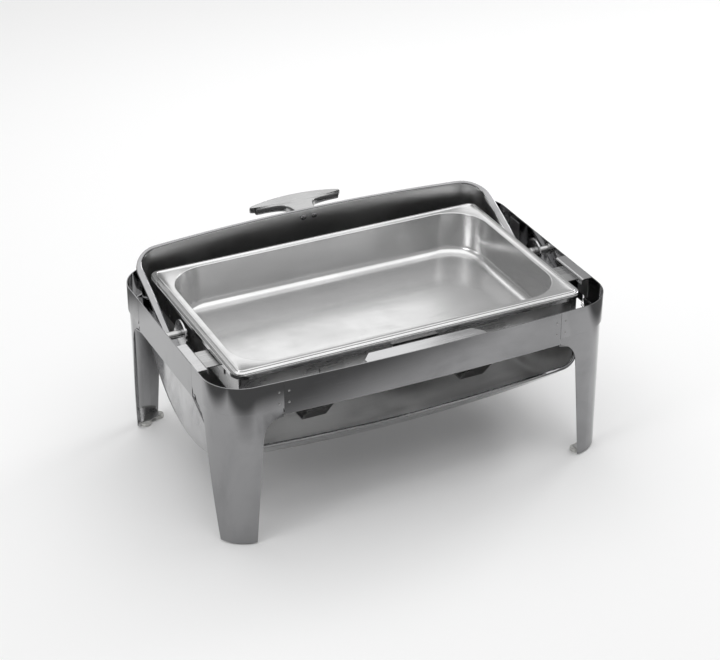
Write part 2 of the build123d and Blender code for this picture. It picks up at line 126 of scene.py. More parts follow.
# %% [markdown]
# ## Marks that steel picks up
# Stainless sheet is never one even mirror. Cloths leave faint wipe marks, the rolling mill leaves a
# very fine grain along the sheet, handling leaves hair scratches, and the edges are rubbed a
# little brighter. Each mark could be painted by hand. Here each is a small group of noise
# textures that gives only a mask, so that several finishes can share it in their own strength.


# %% A group with one mask
def mask_group(name, **inputs):
    """An empty node group: a vector and some numbers go in, a mask comes out."""
    group = bpy.data.node_groups.new(name, "ShaderNodeTree")
    group.interface.new_socket(name="Vector", in_out="INPUT", socket_type="NodeSocketVector")
    for socket, value in inputs.items():
        made = group.interface.new_socket(name=socket, in_out="INPUT", socket_type="NodeSocketFloat")
        made.default_value = value
    group.interface.new_socket(name="Mask", in_out="OUTPUT", socket_type="NodeSocketFloat")
    return group, group.nodes.new("NodeGroupInput"), group.nodes.new("NodeGroupOutput")


def stretched(tree, vector, scale, turn=(0, 0, 0)):
    """Coordinates stretched along the axes, so that a noise becomes streaks."""
    mapping = tree.nodes.new("ShaderNodeMapping")
    mapping.inputs["Scale"].default_value = scale
    mapping.inputs["Rotation"].default_value = turn
    tree.links.new(vector, mapping.inputs["Vector"])
    return mapping.outputs["Vector"]


def noise(tree, vector, scale, detail=3.0, roughness=0.5, distortion=0.0):
    """A noise texture, as a value about one half."""
    texture = tree.nodes.new("ShaderNodeTexNoise")
    texture.inputs["Scale"].default_value = scale
    texture.inputs["Detail"].default_value = detail
    texture.inputs["Roughness"].default_value = roughness
    texture.inputs["Distortion"].default_value = distortion
    tree.links.new(vector, texture.inputs["Vector"])
    return texture.outputs["Fac"]


def between(tree, value, low, high, to_low=0.0, to_high=1.0):
    """Map a value from one range to another, held inside it."""
    mapped = tree.nodes.new("ShaderNodeMapRange")
    mapped.interpolation_type = "SMOOTHSTEP"
    limits = {"From Min": low, "From Max": high, "To Min": to_low, "To Max": to_high}
    for socket, number in limits.items():
        mapped.inputs[socket].default_value = number
    tree.links.new(value, mapped.inputs["Value"])
    return mapped.outputs["Result"]


def combine(tree, operation, a, b):
    """One maths step between two values, either of which may be a plain number."""
    node = tree.nodes.new("ShaderNodeMath")
    node.operation = operation
    for socket, value in zip(node.inputs, (a, b)):
        if isinstance(value, (int, float)):
            socket.default_value = value
        else:
            tree.links.new(value, socket)
    return node.outputs["Value"]


print("mask helpers ready")

# %% Wipe marks
wipe_marks, given, result = mask_group("wipe_marks", Amount=1.0)
swept = stretched(wipe_marks, given.outputs["Vector"], (5.0, 22.0, 9.0), (0.2, 0.5, 0.7))
long_sweeps = noise(wipe_marks, swept, 1.0, 5.0, 0.62, 0.6)
cloudy = noise(wipe_marks, given.outputs["Vector"], 9.0, 4.0, 0.55, 0.3)
soft_sweeps = between(wipe_marks, long_sweeps, 0.42, 0.68)
soft_clouds = between(wipe_marks, cloudy, 0.40, 0.66)
both = combine(wipe_marks, "MULTIPLY", combine(wipe_marks, "ADD", soft_sweeps, soft_clouds), 0.5)
wiped = combine(wipe_marks, "MULTIPLY", both, given.outputs["Amount"])
wipe_marks.links.new(wiped, result.inputs["Mask"])
print("group", wipe_marks.name)

# %% Rolled grain
rolled_grain, given, result = mask_group("rolled_grain", Amount=1.0)
drawn = stretched(rolled_grain, given.outputs["Vector"], (12.0, 900.0, 900.0))
streaks = noise(rolled_grain, drawn, 1.0, 3.0, 0.7)
grain = combine(rolled_grain, "MULTIPLY", streaks, given.outputs["Amount"])
rolled_grain.links.new(grain, result.inputs["Mask"])
print("group", rolled_grain.name)

# %% Hair scratches
hair_scratches, given, result = mask_group("hair_scratches", Amount=1.0)
total = None
for turn in ((0.0, 0.0, 0.35), (0.0, 0.4, -0.5), (0.3, 0.0, 1.25)):
    lengthwise = stretched(hair_scratches, given.outputs["Vector"], (7.0, 520.0, 520.0), turn)
    hairs = between(hair_scratches, noise(hair_scratches, lengthwise, 1.0, 1.0, 0.4), 0.70, 0.78)
    total = hairs if total is None else combine(hair_scratches, "MAXIMUM", total, hairs)
total = combine(hair_scratches, "MULTIPLY", total, given.outputs["Amount"])
hair_scratches.links.new(total, result.inputs["Mask"])
print("group", hair_scratches.name)

# %% Rubbed edges
rubbed_edges, given, result = mask_group("rubbed_edges", Amount=1.0)
shape = rubbed_edges.nodes.new("ShaderNodeNewGeometry")
raised = between(rubbed_edges, shape.outputs["Pointiness"], 0.52, 0.60)
patches = noise(rubbed_edges, given.outputs["Vector"], 40.0, 4.0)
patchy = between(rubbed_edges, patches, 0.35, 0.65, 0.35, 1.0)
rubbed = combine(rubbed_edges, "MULTIPLY", raised, patchy)
rubbed = combine(rubbed_edges, "MULTIPLY", rubbed, given.outputs["Amount"])
rubbed_edges.links.new(rubbed, result.inputs["Mask"])
print("group", rubbed_edges.name)

# %% [markdown]
# ## The finishes
# The stand and the lid are bright polished sheet: nearly a mirror, but the sheet is slightly wavy,
# and the waves show as soft bends in what it reflects. The pans are drawn from satin sheet with
# its grain along the length. The handle is a polished casting, less flat than sheet. Metal takes
# its colour from its reflection, so every steel has a plain grey base and differs in roughness.
# The lid's inside is rougher satin, and it also has a lighter grey than its outside: painted light
# that lifts the shade inside the roll.


# %% A finish for metal
FINE_RELIEF = 0.010  # how deep grain and scratches are, beside the sheet's waves


def metal(name, dark, light, smooth, rough, waves, grain=0.0, scratches=0.3, wear=0.5):
    """Metal between two greys and two roughnesses, ruled by the marks on it."""
    material = bpy.data.materials.new(name)
    material.use_nodes = True
    tree = material.node_tree
    shader = tree.nodes["Principled BSDF"]
    shader.inputs["Metallic"].default_value = 1.0
    place = tree.nodes.new("ShaderNodeTexCoord").outputs["Object"]
    masks = []
    amounts = ((wipe_marks, 1.0), (rolled_grain, grain), (hair_scratches, scratches), (rubbed_edges, wear))
    for group, amount in amounts:
        node = tree.nodes.new("ShaderNodeGroup")
        node.node_tree = group
        node.inputs["Amount"].default_value = amount
        tree.links.new(place, node.inputs["Vector"])
        masks.append(node.outputs["Mask"])
    wiped, grained, scratched, worn = masks
    tone = tree.nodes.new("ShaderNodeMix")
    tone.data_type = "RGBA"
    tone.inputs["A"].default_value = (*light, 1)
    tone.inputs["B"].default_value = (*dark, 1)
    wipe_tone, grain_tone = combine(tree, "MULTIPLY", wiped, 0.8), combine(tree, "MULTIPLY", grained, 0.4)
    marked = combine(tree, "ADD", wipe_tone, grain_tone)
    tree.links.new(combine(tree, "SUBTRACT", marked, worn), tone.inputs["Factor"])
    tree.links.new(tone.outputs["Result"], shader.inputs["Base Color"])
    grain_dulling = combine(tree, "MULTIPLY", grained, 0.5)
    dulled = combine(tree, "ADD", grain_dulling, combine(tree, "ADD", wiped, scratched))
    tree.links.new(between(tree, dulled, 0.0, 1.0, smooth, rough), shader.inputs["Roughness"])
    sheet_waves = noise(tree, stretched(tree, place, (3.0, 5.0, 5.0)), 1.0, 1.5, 0.4)
    height = combine(tree, "MULTIPLY", sheet_waves, waves)
    height = combine(tree, "ADD", height, combine(tree, "MULTIPLY", grained, FINE_RELIEF))
    height = combine(tree, "SUBTRACT", height, combine(tree, "MULTIPLY", scratched, FINE_RELIEF))
    bump = tree.nodes.new("ShaderNodeBump")
    bump.inputs["Distance"].default_value = 1 * MM
    bump.inputs["Strength"].default_value = 1.0
    tree.links.new(height, bump.inputs["Height"])
    tree.links.new(bump.outputs["Normal"], shader.inputs["Normal"])
    return material


polished = metal(
    "polished_sheet", (0.22, 0.22, 0.225), (0.30, 0.30, 0.305),
    smooth=0.05, rough=0.16, waves=2.2, grain=0.15, scratches=0.25,
)
lid_steel = metal(
    "polished_lid", (0.42, 0.42, 0.425), (0.52, 0.52, 0.525),
    smooth=0.13, rough=0.30, waves=1.0, grain=0.15, scratches=0.3,
)
drawn_steel = metal(
    "satin_drawn_sheet", (0.60, 0.60, 0.60), (0.70, 0.70, 0.70),
    smooth=0.17, rough=0.25, waves=0.8, grain=0.7, scratches=0.2,
)
rim_steel = metal(
    "polished_rim", (0.24, 0.24, 0.245), (0.33, 0.33, 0.335),
    smooth=0.08, rough=0.20, waves=1.0, grain=0.15, scratches=0.3,
)
# The lid's inside: a satin roughness, and a lighter grey than the outside as painted light that lifts the
# shade inside the roll.
lid_inside_painted_light = metal(
    "satin_lid_inside_painted_light", (0.55, 0.55, 0.55), (0.68, 0.68, 0.68),
    smooth=0.28, rough=0.42, waves=0.8, grain=0.5, scratches=0.2,
)
bracket_steel = metal(
    "bracket_strip", (0.32, 0.32, 0.32), (0.45, 0.45, 0.45),
    smooth=0.22, rough=0.42, waves=0.5, grain=0.6, scratches=0.5,
)
cast_metal = metal(
    "polished_casting", (0.34, 0.34, 0.34), (0.46, 0.46, 0.46),
    smooth=0.18, rough=0.34, waves=1.2, scratches=0.4,
)
steels = (polished, lid_steel, drawn_steel, rim_steel, lid_inside_painted_light, bracket_steel, cast_metal)
print("steels", [steel.name for steel in steels])

# %% Moulded plastic for the glides
plastic = bpy.data.materials.new("moulded_plastic")
plastic.use_nodes = True
plastic_tree = plastic.node_tree
plastic_shader = plastic_tree.nodes["Principled BSDF"]
plastic_place = plastic_tree.nodes.new("ShaderNodeTexCoord").outputs["Object"]
scuffs = noise(plastic_tree, plastic_place, 180.0, 5.0, 0.6)
plastic_tone = plastic_tree.nodes.new("ShaderNodeMix")
plastic_tone.data_type = "RGBA"
plastic_tone.inputs["A"].default_value = (0.62, 0.62, 0.60, 1)
plastic_tone.inputs["B"].default_value = (0.42, 0.42, 0.40, 1)
plastic_tree.links.new(between(plastic_tree, scuffs, 0.4, 0.7), plastic_tone.inputs["Factor"])
plastic_tree.links.new(plastic_tone.outputs["Result"], plastic_shader.inputs["Base Color"])
scuffed = between(plastic_tree, scuffs, 0.3, 0.7, 0.38, 0.62)
plastic_tree.links.new(scuffed, plastic_shader.inputs["Roughness"])
print("plastic", plastic.name)

# %% [markdown]
# ## What the steel sees below it
# Upright polished walls mirror the ground in front of them, not the room. The floor here carries a
# painted reflection: to the camera it is evenly pale, but in the steel's mirror it stays pale only
# on a board not much larger than the dish and is painted dark past the board's edge. So the foot of
# each leg mirrors the board and comes out light, while the upper band mirrors the painted dark. It
# is a stage trick: the floor stays pale, and only what is mirrored falls off beyond the board.

# %% The board in the mirror, a painted reflection
FOOTPRINT_X, FOOTPRINT_Y = 306 * MM, 200 * MM
BOARD_SKEW = 0.25  # how far the board's front edge is turned from the dish's
BOARD_EDGE, BOARD_GONE = 0.25, 0.37
PAINTED_REFLECTION_TONE = (0.15, 0.15, 0.15, 1)
floor_tree = floor_material.node_tree
ground = floor_tree.nodes.new("ShaderNodeTexCoord").outputs["Object"]
split = floor_tree.nodes.new("ShaderNodeSeparateXYZ")
floor_tree.links.new(ground, split.inputs["Vector"])
ends = combine(floor_tree, "ABSOLUTE", split.outputs["X"], 0)
beyond_end = combine(floor_tree, "SUBTRACT", ends, FOOTPRINT_X)
beyond_rear = combine(floor_tree, "SUBTRACT", split.outputs["Y"], FOOTPRINT_Y)
turned = combine(floor_tree, "MULTIPLY", split.outputs["X"], BOARD_SKEW)
skewed = combine(floor_tree, "ADD", split.outputs["Y"], turned)
beyond_front = combine(floor_tree, "SUBTRACT", -FOOTPRINT_Y, skewed)
beyond_sides = combine(floor_tree, "MAXIMUM", beyond_rear, beyond_front)
beyond = combine(floor_tree, "MAXIMUM", beyond_end, beyond_sides)
past_board = between(floor_tree, beyond, BOARD_EDGE, BOARD_GONE)
# Painted reflection: only rays mirrored off the steel see the dark tone past the board, while the camera
# sees the floor evenly pale.
mirrored = floor_tree.nodes.new("ShaderNodeLightPath").outputs["Is Glossy Ray"]
floor_tone_and_painted_reflection = floor_tree.nodes.new("ShaderNodeMix")
floor_tone_and_painted_reflection.data_type = "RGBA"
floor_tone_and_painted_reflection.inputs["A"].default_value = FLOOR_TONE
floor_tone_and_painted_reflection.inputs["B"].default_value = PAINTED_REFLECTION_TONE
floor_tree.links.new(combine(floor_tree, "MULTIPLY", past_board, mirrored), floor_tone_and_painted_reflection.inputs["Factor"])
floor_tree.links.new(floor_tone_and_painted_reflection.outputs["Result"], floor_shader.inputs["Base Color"])
print("the mirrored board fades out", BOARD_EDGE, "to", BOARD_GONE, "past the dish")

# %% [markdown]
# ## Turning a mesh into a piece of the dish
# Every new piece is made in place, in the frame, and then rides on the body that carries it, so it
# moves with the CAD model. Sheet is drawn as a single skin: its thickness comes
# from a solidify step and its broken edges from a small bevel, as a press and a file would do it.


# %% Add a piece
def face_outward(bm, inside):
    """Turn the whole skin over if it faces a point that is inside it."""
    bm.normal_update()
    away = sum((f.calc_center_median() - Vector(inside)).dot(f.normal) * f.calc_area() for f in bm.faces)
    if away < 0:
        bmesh.ops.reverse_faces(bm, faces=bm.faces)


def add_piece(name, bm, body, material, stands_for=(), sheet=0.0, edge=0.0, sharp=35.0, inside=None):
    """Finish a mesh: link it, give it thickness and soft edges, and set it on its body."""
    mesh = bpy.data.meshes.new(name)
    bm.to_mesh(mesh)
    bm.free()
    mesh.shade_smooth()
    mesh.set_sharp_from_angle(angle=math.radians(sharp))
    mesh.materials.append(material)
    piece = bpy.data.objects.new(name, mesh)
    bpy.context.scene.collection.objects.link(piece)
    if sheet:
        thickness = piece.modifiers.new("sheet", "SOLIDIFY")
        thickness.thickness, thickness.offset = sheet, -1.0
        thickness.use_even_offset = True
        if inside:
            mesh.materials.append(inside)
            thickness.material_offset = 1
    if edge:
        broken = piece.modifiers.new("broken edges", "BEVEL")
        broken.width, broken.segments = edge, 2
        broken.limit_method, broken.angle_limit = "ANGLE", math.radians(50)
        broken.harden_normals = True
    if stands_for:
        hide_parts(*stands_for)
    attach(piece, body)
    print(name, "faces", len(mesh.polygons))
    return piece


# %% [markdown]
# ## The stand's walls
# On the real dish each wall is a flat blank, cut out with its fillets and then bent round a former.
# The same is done here: the blank is drawn flat with its fillets, it is scored where the bend will
# be, and it is wrapped on the plan of the stand. The plan is a shallow bow, a round corner and a
# straight end. A leg's sheet also steps inwards below its upper band.

# %% The plan of the stand
HALF_LENGTH, _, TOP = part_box("leg_front_right")[1]
HALF_DEPTH, BOW, CORNER = 190 * MM, 10 * MM, 57 * MM
APRON_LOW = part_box("front_apron")[0][2]
SEAM_X, SEAM_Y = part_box("front_apron")[1][0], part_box("end_panel_left")[1][1]
SHEET = 1.2 * MM
bow_radius = (HALF_LENGTH**2 + BOW**2) / (2 * BOW)
bow_centre = bow_radius - HALF_DEPTH - BOW
corner_x = HALF_LENGTH - CORNER
corner_y = bow_centre - math.sqrt((bow_radius - CORNER) ** 2 - corner_x**2)
corner_start = math.asin(corner_x / (bow_radius - CORNER))
bow_run = bow_radius * corner_start
corner_run = bow_run + CORNER * (math.pi / 2 - corner_start)


def on_plan(run, inset=0.0):
    """The place on the front right quarter of the plan, a distance along it from mid length."""
    if abs(run) < bow_run:
        angle = run / bow_radius
        reach = bow_radius - inset
        return reach * math.sin(angle), bow_centre - reach * math.cos(angle)
    if run < corner_run:
        angle = corner_start + (run - bow_run) / CORNER
        reach = CORNER - inset
        return corner_x + reach * math.sin(angle), corner_y - reach * math.cos(angle)
    return HALF_LENGTH - inset, corner_y + run - corner_run


def run_at_x(x):
    """Distance along the plan to a place on the long side."""
    if x < bow_radius * math.sin(corner_start):
        return bow_radius * math.asin(x / bow_radius)
    return bow_run + CORNER * (math.asin((x - corner_x) / CORNER) - corner_start)


def run_at_y(y):
    """Distance along the plan to a place on the end, given as a positive distance from mid depth."""
    if y < -corner_y:
        return corner_run - corner_y - y
    return bow_run + CORNER * (math.acos((y + corner_y) / CORNER) - corner_start)


print("bow", round(bow_run, 4), "corner ends", round(corner_run, 4))


# %% Blanks and bending
def blank(outline):
    """A flat sheet standing on the X axis, from the corners of its outline."""
    bm = bmesh.new()
    corners = [bm.verts.new((x, 0, z)) for x, z in outline]
    bmesh.ops.contextual_create(bm, geom=corners)
    return bm


def score(bm, places, normal):
    """Cut lines across a sheet, so that it can bend there."""
    for place in places:
        everything = bm.verts[:] + bm.edges[:] + bm.faces[:]
        bmesh.ops.bisect_plane(
            bm, geom=everything, plane_co=Vector(normal) * place, plane_no=normal, dist=1e-6
        )


STEP_DEPTH, STEP_HEIGHT, STEP_ABOVE = 2.4 * MM, 1.6 * MM, 0.7 * MM


def step_in(z, band):
    """How far a leg's sheet stands in at a height: a smooth step below its band."""
    t = min(1.0, max(0.0, (band + STEP_ABOVE - z) / STEP_HEIGHT))
    return STEP_DEPTH * t * t * (3 - 2 * t)


def trim(bm, place, keep):
    """Cut a sheet off at a place along it, keeping the part towards +1 or -1."""
    everything = bm.verts[:] + bm.edges[:] + bm.faces[:]
    bmesh.ops.bisect_plane(
        bm, geom=everything, plane_co=(place, 0, 0), plane_no=(keep, 0, 0), clear_inner=True
    )


def wrap(bm, side, end, band=None):
    """Bend a scored blank on to the plan, on the left or right and the front or rear."""
    for vert in bm.verts:
        inset = step_in(vert.co.z, band) if band else 0.0
        x, y = on_plan(vert.co.x, inset)
        vert.co.x, vert.co.y = side * x, -end * y
    face_outward(bm, (0, 0, TOP / 2))


print("blanks bend at a corner of", CORNER)

# %% The four legs
BAND_LOW = TOP - 42 * MM
LEG_LOW = 2 * MM
KNEE_RADIUS = 37 * MM
TOE_X, KNEE_X = 254.5 * MM, 241.5 * MM
TOE_Y, KNEE_Y = 163.0 * MM, 138.0 * MM
HAIRLINE = 0.1 * MM
long_seam, end_seam = run_at_x(SEAM_X + 2 * HAIRLINE), run_at_y(SEAM_Y + 2 * HAIRLINE)
SPARE = 16 * MM  # extra at each seam, trimmed off once the outline is closed
BOW_CUTS, CORNER_CUTS = 4, 24


def knee_arc(knee, way, steps=12):
    """The fillet from a free edge to the apron's line: from the seam (way -1) or towards it (way 1)."""
    centre = knee + way * KNEE_RADIUS
    centre_height = APRON_LOW - KNEE_RADIUS
    angles = [math.radians(90 * i / steps) for i in range(steps + 1)]
    points = [
        (centre - way * KNEE_RADIUS * math.sin(a), centre_height + KNEE_RADIUS * math.cos(a))
        for a in angles
    ]
    return points if way < 0 else points[::-1]


leg_outline = [(long_seam - SPARE, APRON_LOW), *knee_arc(run_at_x(KNEE_X), -1)]
leg_outline += [(run_at_x(TOE_X), LEG_LOW), (run_at_y(TOE_Y), LEG_LOW)]
leg_outline += [*knee_arc(run_at_y(KNEE_Y), 1), (end_seam + SPARE, APRON_LOW)]
leg_outline += [(end_seam + SPARE, TOP), (long_seam - SPARE, TOP)]
scored_runs = [long_seam + i * (bow_run - long_seam) / BOW_CUTS for i in range(1, BOW_CUTS + 1)]
scored_runs += [bow_run + i * (corner_run - bow_run) / CORNER_CUTS for i in range(1, CORNER_CUTS + 1)]
scored_heights = [BAND_LOW + i * 0.2 * MM for i in range(-5, 5)]
for row, end in (("front", -1), ("rear", 1)):
    for hand, side in (("left", -1), ("right", 1)):
        leg = blank(leg_outline)
        trim(leg, long_seam, 1)
        trim(leg, end_seam, -1)
        score(leg, scored_runs, (1, 0, 0))
        score(leg, scored_heights, (0, 0, 1))
        wrap(leg, side, end, BAND_LOW)
        node = f"leg_{row}_{hand}"
        add_piece(node + "_sheet", leg, "stand", polished, [node], SHEET, 0.25 * MM)

# %% The long aprons and the end panels
apron_half = run_at_x(SEAM_X)
scored_bow = [apron_half * i / 12 for i in range(-11, 12)]
for row, end in (("front", -1), ("rear", 1)):
    apron = blank(
        ((-apron_half, APRON_LOW), (apron_half, APRON_LOW), (apron_half, TOP), (-apron_half, TOP))
    )
    score(apron, scored_bow, (1, 0, 0))
    wrap(apron, 1, end)
    node = f"{row}_apron"
    add_piece(node + "_sheet", apron, "stand", polished, [node], SHEET, 0.25 * MM)
for hand, side in (("left", -1), ("right", 1)):
    first, last = run_at_y(SEAM_Y), run_at_y(-SEAM_Y)
    panel = blank(((first, APRON_LOW), (last, APRON_LOW), (last, TOP), (first, TOP)))
    wrap(panel, side, -1)
    node = f"end_panel_{hand}"
    add_piece(node + "_sheet", panel, "stand", polished, [node], SHEET, 0.25 * MM)

# %% [markdown]
# ## Spot welds
# The walls are taken to be held at their seams by lap straps behind them. A spot weld often leaves
# a small round print on the outside, so four are guessed at each seam. A print could be a bump in
# the finish, but a shallow button in the mesh catches the light at every angle, so each is a
# sphere pressed almost flat.

# %% The weld prints
WELD_RADIUS, WELD_RISE = 1.9 * MM, 0.12 * MM
WELD_ACROSS = 7 * MM
WELD_DEPTHS = (15 * MM, 33 * MM)
welds = bmesh.new()
for end in (-1, 1):
    for side in (-1, 1):
        for across in (-WELD_ACROSS, WELD_ACROSS):
            x, y = on_plan(run_at_x(SEAM_X + across))
            for depth in WELD_DEPTHS:
                ball = bmesh.ops.create_uvsphere(welds, u_segments=16, v_segments=8, radius=WELD_RADIUS)
                button = ball["verts"]
                bmesh.ops.scale(welds, vec=(1, WELD_RISE / WELD_RADIUS, 1), verts=button)
                bmesh.ops.translate(welds, vec=(side * x, -end * y, TOP - depth), verts=button)
add_piece("spot_welds", welds, "stand", bracket_steel)

# %% [markdown]
# ## The food pan
# A steel pan of this kind is pressed in one draw, so it has no sharp corner anywhere. Its rim lies
# flat with a raised bead and a turned-down edge, the well's wall leans in a little so that pans
# can be stacked, and the floor meets the wall in a round. The surface is a stack of rounded
# rectangles, each one joined to the next. That keeps the corners clean, which a modelled and
# subdivided box would not do as exactly.


# %% Rounded rectangles, one above another
CORNER_STEPS = 12
BOW_STEPS = 22
JOINING_GAP = 0.1


def rounded_ring(bm, half_x, half_y, radius, height, bow=0.0):
    """A rounded rectangle of edges, with bulged sides if asked, and the height it belongs at."""
    earlier_edges, earlier_faces = set(bm.edges), set(bm.faces)
    corners = bmesh.ops.create_grid(bm, x_segments=1, y_segments=1, size=1.0)["verts"]
    bmesh.ops.scale(bm, vec=(half_x, half_y, 1), verts=corners)
    bmesh.ops.bevel(
        bm, geom=corners, offset=radius, segments=CORNER_STEPS, profile=0.5, affect="VERTICES"
    )
    new_faces = [f for f in bm.faces if f not in earlier_faces]
    bmesh.ops.delete(bm, geom=new_faces, context="FACES_ONLY")
    ring = [e for e in bm.edges if e not in earlier_edges]
    if bow:
        long_edges = [e for e in ring if abs(e.verts[0].co.x - e.verts[1].co.x) > half_x]
        bmesh.ops.subdivide_edges(bm, edges=long_edges, cuts=BOW_STEPS)
        ring = [e for e in bm.edges if e not in earlier_edges]
    for vert in {v for e in ring for v in e.verts}:
        vert.co.y += math.copysign(bow * (1 - (vert.co.x / half_x) ** 2), vert.co.y)
    return ring, height


def set_height(ring, height):
    """Bring a ring to a height."""
    for vert in {v for e in ring for v in e.verts}:
        vert.co.z = height


def join_rings(bm, rings):
    """Skin a stack of rings, each to the next. They are held well apart while they are joined."""
    for level, (ring, _) in enumerate(rings):
        set_height(ring, level * JOINING_GAP)
    for (ring, _), (following, _) in zip(rings, rings[1:]):
        bmesh.ops.bridge_loops(bm, edges=ring + following)
    for ring, height in rings:
        set_height(ring, height)


print("corner steps", CORNER_STEPS, "bow steps", BOW_STEPS)

# %% The pan's skin
pan_low, pan_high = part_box("food_pan")
PAN_HALF_X, PAN_HALF_Y = (pan_high[0] - pan_low[0]) / 2, (pan_high[1] - pan_low[1]) / 2
PAN_MIDDLE = (pan_high[1] + pan_low[1]) / 2
PAN_SHEET = 1.0 * MM
BEAD = 1.0 * MM
RIM = pan_high[2] - BEAD
FLOOR = pan_low[2] + PAN_SHEET
RIM_CORNER, LIP, EDGE_ROUND = 13 * MM, 4 * MM, 1.2 * MM
OUTER_DROP = 0.9 * MM  # the rim's outer flat lies lower than the flat inside the bead
WELL_X, WELL_Y, WELL_CORNER = 249 * MM, 146.5 * MM, 57 * MM
FOOT_ROUND, LEAN = 13 * MM, math.tan(math.radians(3))

pan = bmesh.new()
rings = [rounded_ring(pan, PAN_HALF_X, PAN_HALF_Y, RIM_CORNER, RIM - LIP)]
for i in range(5):
    a = math.radians(90 * i / 4)
    inset = EDGE_ROUND * (1 - math.cos(a))
    height = RIM - OUTER_DROP - EDGE_ROUND * (1 - math.sin(a))
    rings.append(rounded_ring(pan, PAN_HALF_X - inset, PAN_HALF_Y - inset, RIM_CORNER - inset, height))
bead_profile = (
    (4.4, -0.9), (4.7, -0.7), (5.0, 0.6), (5.4, 1.0), (7.4, 1.0), (7.9, 0.75), (8.1, 0.2), (8.5, 0),
)
for millimetres_in, rise in bead_profile:
    inset = millimetres_in * MM
    height = RIM + rise * BEAD
    rings.append(rounded_ring(pan, PAN_HALF_X - inset, PAN_HALF_Y - inset, RIM_CORNER - inset, height))
for i in range(5):
    a = math.radians(87 * i / 4)
    out = EDGE_ROUND * (1 - math.sin(a))
    drop = EDGE_ROUND * (1 - math.cos(a))
    rings.append(rounded_ring(pan, WELL_X + out, WELL_Y + out, WELL_CORNER + out, RIM - drop))
foot_top = FLOOR + FOOT_ROUND
wall_inset = LEAN * (RIM - foot_top)
for i in range(9):
    a = math.radians(90 * i / 8)
    inset = wall_inset + FOOT_ROUND * (1 - math.cos(a))
    height = foot_top - FOOT_ROUND * math.sin(a)
    rings.append(rounded_ring(pan, WELL_X - inset, WELL_Y - inset, WELL_CORNER - inset, height))
join_rings(pan, rings)
bmesh.ops.contextual_create(pan, geom=rings[-1][0])
bmesh.ops.translate(pan, vec=(0, PAN_MIDDLE, 0), verts=pan.verts)
bmesh.ops.recalc_face_normals(pan, faces=pan.faces)
pan.normal_update()
floor_face = max(pan.faces, key=lambda f: f.calc_area())
if floor_face.normal.z < 0:
    bmesh.ops.reverse_faces(pan, faces=pan.faces)
add_piece(
    "food_pan_drawn", pan, "food_pan", drawn_steel, ["food_pan"], PAN_SHEET, sharp=60.0
)

# %% [markdown]
# ## The lid
# The lid is a roll: a barrel a little fuller in the middle, closed by a round-shouldered plate at
# each end, turning on the same axis that it is rolled about. So its shape is one profile swung
# half round the pivot axis and cut off at the rim's plane. It is made closed, with its crown up,
# and then turned open like the real one.

# %% The lid's skin
PIVOT = Vector((0, 0, 240 * MM))
OPENED = math.radians(-154.5)
ROLL, ROLL_END, LID_HALF, SHOULDER = 195 * MM, 181 * MM, 279.5 * MM, 30 * MM
RIM_DROP = 39 * MM
LID_SHEET = 1.0 * MM
BARREL_STEPS, SHOULDER_STEPS, SWING_STEPS = 18, 12, 72
swing_open = Matrix.Translation(PIVOT) @ Matrix.Rotation(OPENED, 4, "X")


def roll_radius(x):
    """Radius of the barrel at a place along it."""
    return ROLL - (ROLL - ROLL_END) * (x / LID_HALF) ** 2


shoulder_x = LID_HALF - SHOULDER
lean = math.atan(2 * (ROLL - ROLL_END) * shoulder_x / LID_HALF**2)
barrel_end = shoulder_x + SHOULDER * math.sin(lean)
shoulder_r = roll_radius(barrel_end) - SHOULDER * math.cos(lean)
barrel = [barrel_end * i / BARREL_STEPS for i in range(BARREL_STEPS)]
half_profile = [(x, roll_radius(x)) for x in barrel]
for i in range(SHOULDER_STEPS + 1):
    a = lean + (math.pi / 2 - lean) * i / SHOULDER_STEPS
    half_profile.append((shoulder_x + SHOULDER * math.sin(a), shoulder_r + SHOULDER * math.cos(a)))
half_profile += [(LID_HALF, shoulder_r * share) for share in (0.75, 0.5, 0.22)]
profile = [(-x, r) for x, r in reversed(half_profile[1:])] + half_profile

lid = bmesh.new()
line = [lid.verts.new((x, r, 0)) for x, r in profile]
edges = [lid.edges.new(pair) for pair in zip(line, line[1:])]
bmesh.ops.spin(
    lid, geom=line + edges, axis=(1, 0, 0), cent=(0, 0, 0), angle=math.pi, steps=SWING_STEPS
)
everything = lid.verts[:] + lid.edges[:] + lid.faces[:]
bmesh.ops.bisect_plane(
    lid, geom=everything, plane_co=(0, 0, RIM_DROP), plane_no=(0, 0, 1), clear_inner=True
)
face_outward(lid, (0, 0, RIM_DROP))
bmesh.ops.transform(lid, matrix=swing_open, verts=lid.verts)
add_piece(
    "lid_rolled_shell", lid, "lid", lid_steel, ["lid_shell"], LID_SHEET, inside=lid_inside_painted_light
)

# %% [markdown]
# The rim stiffens the lid's mouth. Its inner edge is rolled into the shell, its flat is narrow at
# mid length and wider at the ends, and its outer edge turns back. The same rings as in the pan
# give it, with a bulge on the long sides.

# %% The lid's rim
MOUTH = (278.4 * MM, 175.7 * MM, 29 * MM, 14.3 * MM)  # half length, half depth, corner, bow
OUTSIDE = (289 * MM, 180.8 * MM, 42 * MM, 13.0 * MM)
RIM_ROUND = 2.6 * MM
RIM_SHEET = 1.2 * MM


def rim_ring(bm, share, height):
    """A ring between the shell's mouth (share 0) and the rim's outer edge (share 1)."""
    half_x, half_y, radius, bow = (a + (b - a) * share for a, b in zip(MOUTH, OUTSIDE))
    return rounded_ring(bm, half_x, half_y, radius, height, bow)


